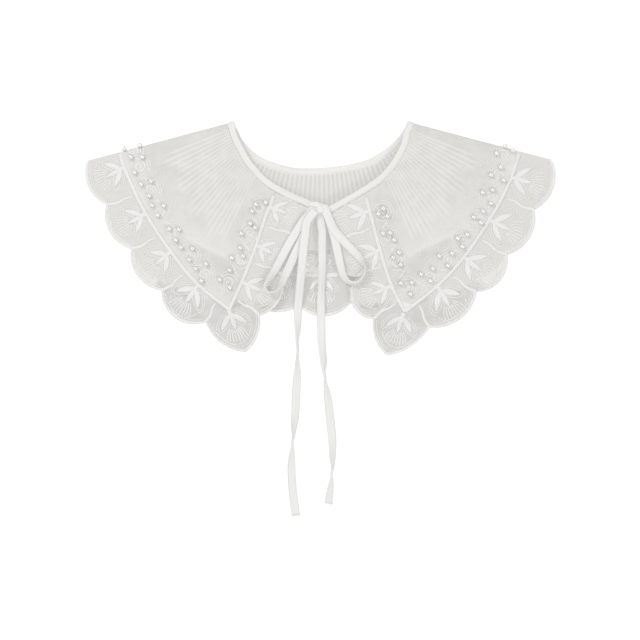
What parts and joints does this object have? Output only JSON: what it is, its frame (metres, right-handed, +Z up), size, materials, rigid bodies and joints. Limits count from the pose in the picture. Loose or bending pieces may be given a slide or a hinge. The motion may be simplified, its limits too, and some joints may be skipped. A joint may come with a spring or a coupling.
{
  "type": "detachable collar",
  "caption": "Detachable cape collar of sheer pleated organza with a scalloped lace border, pearl rosettes and a ribbon tie, laid flat.",
  "frame": {"origin": "middle of the collar without its free ribbon ends, on the surface it lies on", "axes": "+X to the right across the shoulders, +Y towards the shoulder folds, +Z up from the surface"},
  "size_m": [0.4454, 0.3741, 0.0185],
  "materials": {
    "organza": "sheer white organza, pressed into fine pleats",
    "lace": "sheer white organza with satin-stitch embroidery",
    "satin": "white woven ribbon with a soft sheen",
    "thread": "white satin-stitched thread",
    "pearl": "glossy white imitation pearl on satin-stitched rosettes"
  },
  "bodies": {
    "root": {"yoke": "organza", "lace_border": "lace", "neck_binding": "satin", "pearl_trim_left": "pearl", "pearl_trim_right": "pearl", "back_seam_cord": "thread", "tie_knot": "satin", "bow_loop_left": "satin", "bow_loop_right": "satin", "tie_tail_left": "satin", "tie_tail_right": "satin"}
  },
  "joints": []
}
